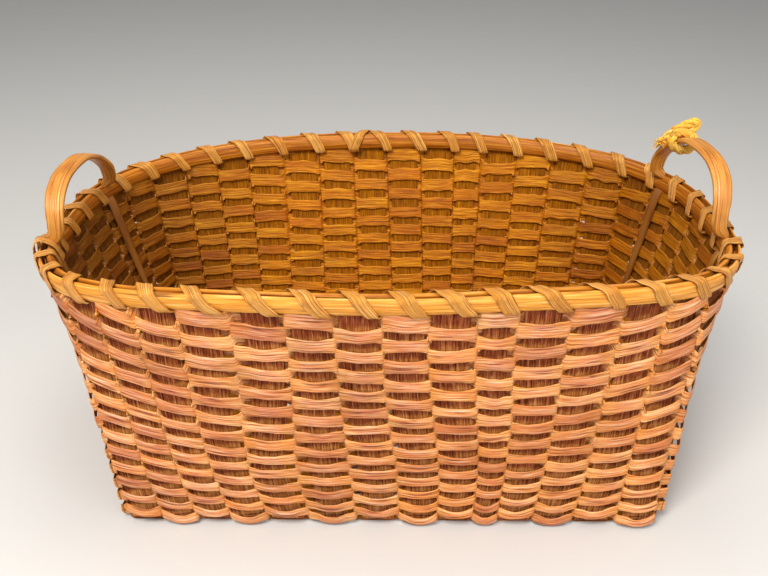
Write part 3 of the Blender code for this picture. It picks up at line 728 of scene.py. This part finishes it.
# ---- rim lashing -------------------------------------------------------------------
# One winding: share of a pitch, drop and offset, from the slot under the hoops up the
# inside, over the top and down the slanting outside.
OUT_FACE, IN_FACE = OUTER_MID + HOOP / 2 + 1.2, INNER_MID - HOOP / 2 - 1.0
WINDING = ((0.47, 14.5, -1.5), (0.46, 14.3, IN_FACE + 0.8), (0.48, 11.5, IN_FACE - 0.5), (0.56, 6.0, IN_FACE - 0.6),
           (0.64, 1.2, IN_FACE - 0.2), (0.70, -0.8, IN_FACE + 1.8), (0.77, -1.1, -0.8), (0.83, -0.9, OUT_FACE - 2.2),
           (0.87, 0.7, OUT_FACE + 0.1), (0.94, 4.5, OUT_FACE + 0.6), (1.03, 8.8, OUT_FACE + 0.6),
           (1.14, 12.4, OUT_FACE + 0.1), (1.22, 14.3, OUT_FACE - 2.0))
WIDE = (3.7, 4.0, 4.2, 4.3, 4.6, 4.9, 5.0, 5.0, 5.0, 4.9, 4.6, 4.2, 3.7)


def lash_frames(path, width, closed=False):
    """path rows are q, drop, out, half width."""
    C = np.array([rim_smooth(q, d, o) for q, d, o, _ in path])
    hub = np.array([rim_smooth(q, HOOP_HEIGHT * 0.5, (OUT_FACE + IN_FACE) / 2) for q, *_ in path])
    T = unit(np.roll(C, -1, 0) - np.roll(C, 1, 0)) if closed else unit(np.gradient(C, axis=0))
    side = np.array([rim_smooth(q + 0.02, d, o) - rim_smooth(q - 0.02, d, o) for q, d, o, _ in path])
    X = unit(side - T * (side * T).sum(1, keepdims=True))
    Y = np.cross(T, X)
    Y *= np.sign((Y * (C - hub)).sum(1, keepdims=True))
    return C, X, Y


FRONT_PHASE = (0.0, 0.0, 0.0, 0.02, 0.06, 0.10, 0.14, 0.16, 0.18, 0.18, 0.18, 0.18, 0.17)


def winding(i, keys=WINDING, wide=1.0):
    jit = rng.normal(0, 0.02)
    lean, size = rng.uniform(0.94, 1.05), rng.uniform(0.9, 1.12)
    left_first = STAKES - 1 - 2
    out = []
    for n, (q, d, o) in enumerate(keys):
        half = WIDE[n] * wide * size
        q2 = 0.5 + (q - 0.5) * lean if 4 < n < 11 else q
        q2 += FRONT_PHASE[n] * {STAKES - 1: 0.5, NC - 2: 0.9, NC - 1: 0.4}.get(i, 1.0 if i < NC - 2 else 0.0)
        if i == left_first - 1 and 3 < n < 9:      # passes clear of the handle's leg
            q2 -= 0.12
        out.append((i + q2 + (jit if 2 < n < 11 else 0), d, o, half))
    return out


path = []
for i in range(STAKES):
    path += winding(i)
line = spline([(a - 0, b, c, w) for a, b, c, w in path], 4, closed=False)
C, X, Y = lash_frames([(q, d, o, w) for q, d, o, w in line], None)
turn = np.floor(line[:, 0] - 0.45).astype(int)
tone = np.array([0.5 + 0.5 * math.sin(12.9898 * t) for t in range(STAKES + 2)])
lash = [tube(C, X, Y, line[:, 3] + smooth_noise(len(C), 7, 0.16), 0.42, n=36, power=2.6, crown=0.30, fibre=0.085, run=14,
             data={"rnd": tone[np.clip(turn, 0, STAKES + 1)]})]


def extra(points, half, lift=1.0, per=6):
    """A further strip over the windings."""
    rows = spline([(q, d, o + math.copysign(lift, o - (OUT_FACE + IN_FACE) / 2) if -0.75 < d < 13.5 else o, half)
                   for q, d, o in points], per)
    rows[:, 1] -= np.where(rows[:, 1] < 0.5, lift * 0.9, 0.0)
    C, X, Y = lash_frames([tuple(r) for r in rows], None)
    return tube(C, X, Y, rows[:, 3], 0.42, n=36, power=2.6, crown=0.30, fibre=0.085, run=14, data={"rnd": 0.3})


def mirrored(at):
    """The winding the other way about, for the crossed wrap."""
    return [(at - (q - 0.95), d, o) for q, d, o in WINDING[1:]]


BACK_CROSS = 2 * NC + NL - 1 - 6 + 0.35 - 0.35
lash.append(extra(mirrored(BACK_CROSS), 4.0, 1.0))
# the broad strip that leans against the foot of the left handle's front leg
lash.append(extra([(41.30 + (q - 0.80) * 0.55, d - 5.0 * math.exp(-((o - 0.0) / 6.0) ** 2) * (d < 0), o)
                   for q, d, o in WINDING[1:]], 5.4, 1.0))
build("wound_rim_lashing", lash, lash_mat, ["rim_lashing"])

# ---- handles -----------------------------------------------------------------------
BOW = ((0.0, 0.0), (0.005, 0.28), (0.035, 0.52), (0.105, 0.77), (0.24, 0.95),
       (0.42, 1.0), (0.60, 0.95), (0.80, 0.70), (0.94, 0.36), (1.0, 0.0))
BOW_RISE = {-1: 41.0, 1: 48.0}
BOW_LEAN = {-1: math.radians(5.0), 1: math.radians(6.0)}
BOW_INSET = {-1: 5.4, 1: 7.4}
SHOULDER = 5.0


def handle(name, stakes, offsets, side):
    mid_rim = -(SPLINT / 2 + 0.4 + LEG / 2)
    mid_wall = -(SPLINT / 2 + CLEAR + WEAVER + 0.05 + 0.65 + LEG / 2) - 0.9
    legs = []
    for i, along in zip(stakes, offsets):
        stake, rings = WALL[i], []
        for drop, out, hw, ht in ((150.0, mid_wall, 1.4, 0.5), (120.0, mid_wall, 2.6, 0.8), (90.0, mid_wall, 3.6, 1.0),
                                  (55.0, mid_wall, 4.2, 1.15), (HOOP_HEIGHT + LASH_SLOT + 5, mid_wall, 4.6, 1.15),
                                  (HOOP_HEIGHT - 2.0, mid_rim, 4.6, LEG / 2), (5.0, mid_rim, 4.4, LEG / 2)):
            s = from_top(stake, drop)
            _, t, n = stake.frame(s)
            rings.append((stake.at(s, along, out), t, n, hw, ht))
        legs.append(rings)
    front = WALL[stakes[0]].at(from_top(WALL[stakes[0]], -1.9), offsets[0], mid_rim)
    rear = WALL[stakes[1]].at(from_top(WALL[stakes[1]], -1.9), offsets[1], mid_rim)
    d = rear - front
    out = unit(np.array((abs(d[1]) * side, -d[0] * side * (1 if d[1] > 0 else -1), 0.0)))
    up = np.array((0, 0, 1)) * math.cos(BOW_LEAN[side]) + out * math.sin(BOW_LEAN[side])
    inset = -out * ((HANDLE_WIDTH * 0.78 - LEG) / 2 + BOW_INSET[side])
    rise = BOW_RISE[side] - SHOULDER
    bow = spline([front + inset + d * u + up * (SHOULDER + v * rise) for u, v in BOW], 8)
    m = len(bow)
    # the legs of the bow lean out a little towards the hoops
    near = np.clip((bow[:, 2] - bow[0, 2]) / (0.35 * rise), 0, 1)
    bow = bow - inset * (0.12 * (1 - near * near * (3 - 2 * near)))[:, None]
    T = unit(np.gradient(bow, axis=0))
    X = unit(out - T * (T @ out)[:, None])
    ease = np.minimum(1.0, 0.80 + 0.24 * np.sin(np.pi * np.arange(m) / (m - 1)))
    rows = []
    # a row is the centre, across (away from the basket), half width across and half thickness
    def foot(at, k):
        """Rings between the leg, thin among the hoops, and the bow over the rim."""
        high = float((bow[k] - inset - at)[2])
        return [(*(at + inset * f + np.array((0, 0, 1.0)) * (z if z < 3 else high * 0.55)), *out, w, h)
                for f, z, w, h in ((0.30, -2.2, 2.9, 3.6), (0.50, 0.6, 4.3, 3.2), (0.76, 4.0, 5.3, 2.8))]

    for c, t, n, hw, ht in legs[0]:
        rows.append((*c, *(n * np.sign(n @ out)), ht, hw))
    rows += foot(front, 1)
    for k in range(3, m - 3):
        rows.append((*bow[k], *X[k], HANDLE_WIDTH / 2 * ease[k] * 1.08, HANDLE_THICK / 2))
    rows += list(reversed(foot(rear, m - 2)))
    for c, t, n, hw, ht in reversed(legs[1]):
        rows.append((*c, *(n * np.sign(n @ out)), ht, hw))
    rows = np.array(rows)
    # even the joins out, then set each section square to the line
    rows = spline(rows, 2)
    C = rows[:, :3]
    T = unit(np.gradient(C, axis=0))
    A = rows[:, 3:6]
    A = unit(A - T * (A * T).sum(1, keepdims=True))
    B = np.cross(T, A)
    piece = tube(C, A, B, rows[:, 6] + smooth_noise(len(C), 10, 0.08), rows[:, 7], n=44, power=3.0,
                 crown=0.0, fibre=0.07, run=18, data={"rnd": 0.5})
    return piece, bow, T, out


left_stakes = (STAKES - 1 - 2, STAKES - 1 - 6)
right_stakes = (NC + 2, NC + 6)
piece, bow, _, _ = handle("handle_left", left_stakes, (-1.0, 5.5), -1)
build("bent_handle_left", [piece], handle_mat, ["handle_left"])
piece, bow, _, out_right = handle("handle_right", right_stakes, (5.5, 5.5), 1)
build("bent_handle_right", [piece], handle_mat, ["handle_right"])


# ---- rope --------------------------------------------------------------------------
def rope(points, radius, per=8, turn=26.0, phase=0.0, hairs=True):
    """Three strands laid round a smooth line."""
    line = spline(points, per)
    T = unit(np.gradient(line, axis=0))
    ref = np.array((0.31, 0.22, 0.92))
    frames, prev = [], unit(ref - T[0] * (T[0] @ ref))
    for t in T:
        prev = unit(prev - t * (t @ prev))
        frames.append(prev)
    U = np.array(frames)
    V = np.cross(T, U)
    arc = np.concatenate(([0.0], np.cumsum(np.linalg.norm(np.diff(line, axis=0), axis=1))))
    pieces = []
    for s in range(3):
        a = 2 * math.pi * (arc / turn + s / 3) + phase
        C = line + (U * np.cos(a)[:, None] + V * np.sin(a)[:, None]) * radius * 0.50
        Ts = unit(np.gradient(C, axis=0))
        Xs = unit(U - Ts * (U * Ts).sum(1, keepdims=True))
        pieces.append(tube(C, Xs, np.cross(Ts, Xs), radius * 0.60, radius * 0.60, n=12, power=2.0,
                           data={"rnd": 0.2 + 0.25 * s}))
    return pieces


def fray(start, aim, count, length, spread):
    out = []
    for _ in range(count):
        d = unit(aim + rng.normal(0, spread, 3))
        p0 = start + rng.normal(0, 1.1, 3)
        long = length * rng.uniform(0.5, 1.15)
        bend = rng.normal(0, 0.18, 3) * long
        pts = spline([p0, p0 + d * long * 0.5 + bend * 0.4, p0 + d * long + bend], 4)
        T = unit(np.gradient(pts, axis=0))
        X = unit(np.cross(T, np.array((0.2, 0.3, 0.93))))
        w = np.linspace(0.34, 0.14, len(pts))
        out.append(tube(pts, X, np.cross(T, X), w, w, n=6, power=2.0, data={"rnd": rng.uniform(0, 1)}))
    return out


k0 = int(0.735 * (len(bow) - 1))
hub = bow[k0]
Tb = unit(bow[k0 + 1] - bow[k0 - 1])
Ab = unit(out_right - Tb * (Tb @ out_right))
Nb = np.cross(Ab, Tb)
Nb = Nb if Nb[2] > 0 else -Nb


def local(a, n, t):
    return hub + Ab * a + Nb * n + Tb * t


R = 3.5
ring = []
for a in np.radians(np.linspace(150, 470, 11)):
    ring.append(local(math.cos(a) * (HANDLE_WIDTH / 2 + R + 0.7), math.sin(a) * (HANDLE_THICK / 2 + R + 1.2),
                      (math.degrees(a) - 310) / 320 * 8.0))
# the doubled lobe over the bow, its two parts side by side, and the short cut end behind it
root, axis, across = np.array((231.0, 60.5, 248.2)), np.array((0.818, -0.038, 0.574)), np.array((-0.574, 0.0, 0.818))
lobe = [root + axis * e + across * w + np.array((0, d, 0)) for e, w, d in (
    (4.0, -3.3, -1.0), (10.0, -3.3, -1.0), (16.0, -3.2, -0.5), (21.0, -2.5, 0.0), (23.6, 0.0, 0.0), (21.0, 2.5, 0.0),
    (16.0, 3.1, 0.5), (10.0, 3.2, 1.0), (4.0, 3.0, 1.5), (-2.0, 1.6, 2.0), (-6.5, 0.6, 2.0))]
strands = rope(ring + lobe, R, per=5, turn=24.0)
tip = lobe[-1]
strands += fray(tip, unit(lobe[-1] - lobe[-2]) + np.array((0, 0, 0.25)), 60, 6.5, 0.42)
start = ring[0]
strands += fray(start, unit(ring[0] - ring[1]), 22, 5.0, 0.4)
build("knotted_rope_tie", strands, rope_mat, ["rope_tie"])

# ---- floor, light and camera -------------------------------------------------------
floor_mesh = bpy.data.meshes.new("floor")
size, bend, back = 4.0, 0.9, 2.2
prof = [(-size, 0.0), (back, 0.0)] + [(back + bend * math.sin(a), bend * (1 - math.cos(a))) for a in np.linspace(0.15, math.pi / 2, 10)] + [(back + bend, 3.5)]
fv = [(x, y, z - 0.0002) for y, z in prof for x in (-size, size)]
ff = [(2 * i, 2 * i + 1, 2 * i + 3, 2 * i + 2) for i in range(len(prof) - 1)]
floor_mesh.from_pydata(fv, [], ff)
floor_mesh.polygons.foreach_set("use_smooth", np.ones(len(floor_mesh.polygons), bool))
floor = bpy.data.objects.new("floor", floor_mesh)
bpy.context.scene.collection.objects.link(floor)
fm = bpy.data.materials.new("floor_plain")
fm.use_nodes = True
fm.node_tree.nodes["Principled BSDF"].inputs["Base Color"].default_value = (0.62, 0.61, 0.59, 1)
fm.node_tree.nodes["Principled BSDF"].inputs["Roughness"].default_value = 0.8
floor_mesh.materials.append(fm)

world = bpy.data.worlds.new("studio")
bpy.context.scene.world = world
world.use_nodes = True
world.node_tree.nodes["Background"].inputs["Color"].default_value = (0.95, 0.97, 1.0, 1)
world.node_tree.nodes["Background"].inputs["Strength"].default_value = 0.36
bpy.context.scene.view_settings.view_transform = "Standard"


def area(name, place, target, size, power, colour):
    data = bpy.data.lights.new(name, "AREA")
    data.shape, data.size, data.size_y = "RECTANGLE", size[0], size[1]
    data.energy, data.color = power, colour
    obj = bpy.data.objects.new(name, data)
    obj.location = place
    obj.rotation_euler = (Vector(target) - Vector(place)).to_track_quat("-Z", "Y").to_euler()
    bpy.context.scene.collection.objects.link(obj)


area("key", (-0.42, -1.05, 1.45), (0.0, 0.0, 0.1), (0.7, 0.6), 33.0, (1.0, 0.965, 0.91))
area("fill", (0.9, -1.3, 0.8), (0.0, -0.05, 0.1), (1.2, 0.9), 9.0, (0.98, 0.97, 1.0))
area("top", (0.10, 0.10, 1.6), (0.0, 0.05, 0.1), (1.1, 0.8), 9.0, (1.0, 0.97, 0.92))

pitch, yaw, roll = math.radians(27.5127), math.radians(0.4484), math.radians(0.7049)
fwd = Vector((math.sin(yaw) * math.cos(pitch), math.cos(yaw) * math.cos(pitch), -math.sin(pitch)))
rt = Vector((math.cos(yaw), -math.sin(yaw), 0.0))
up = rt.cross(fwd)
r2 = rt * math.cos(roll) + up * math.sin(roll)
u2 = -rt * math.sin(roll) + up * math.cos(roll)
cam_data = bpy.data.cameras.new("camera")
cam_data.sensor_fit, cam_data.sensor_width = "HORIZONTAL", 36.0
cam_data.lens = 897.848 * 36.0 / 768
cam_data.clip_start, cam_data.clip_end = 0.01, 50
cam = bpy.data.objects.new("camera", cam_data)
cam.matrix_world = Matrix(((r2.x, u2.x, -fwd.x, -0.007902), (r2.y, u2.y, -fwd.y, -0.650304),
                           (r2.z, u2.z, -fwd.z, 0.477612), (0, 0, 0, 1)))
bpy.context.scene.collection.objects.link(cam)
bpy.context.scene.camera = cam
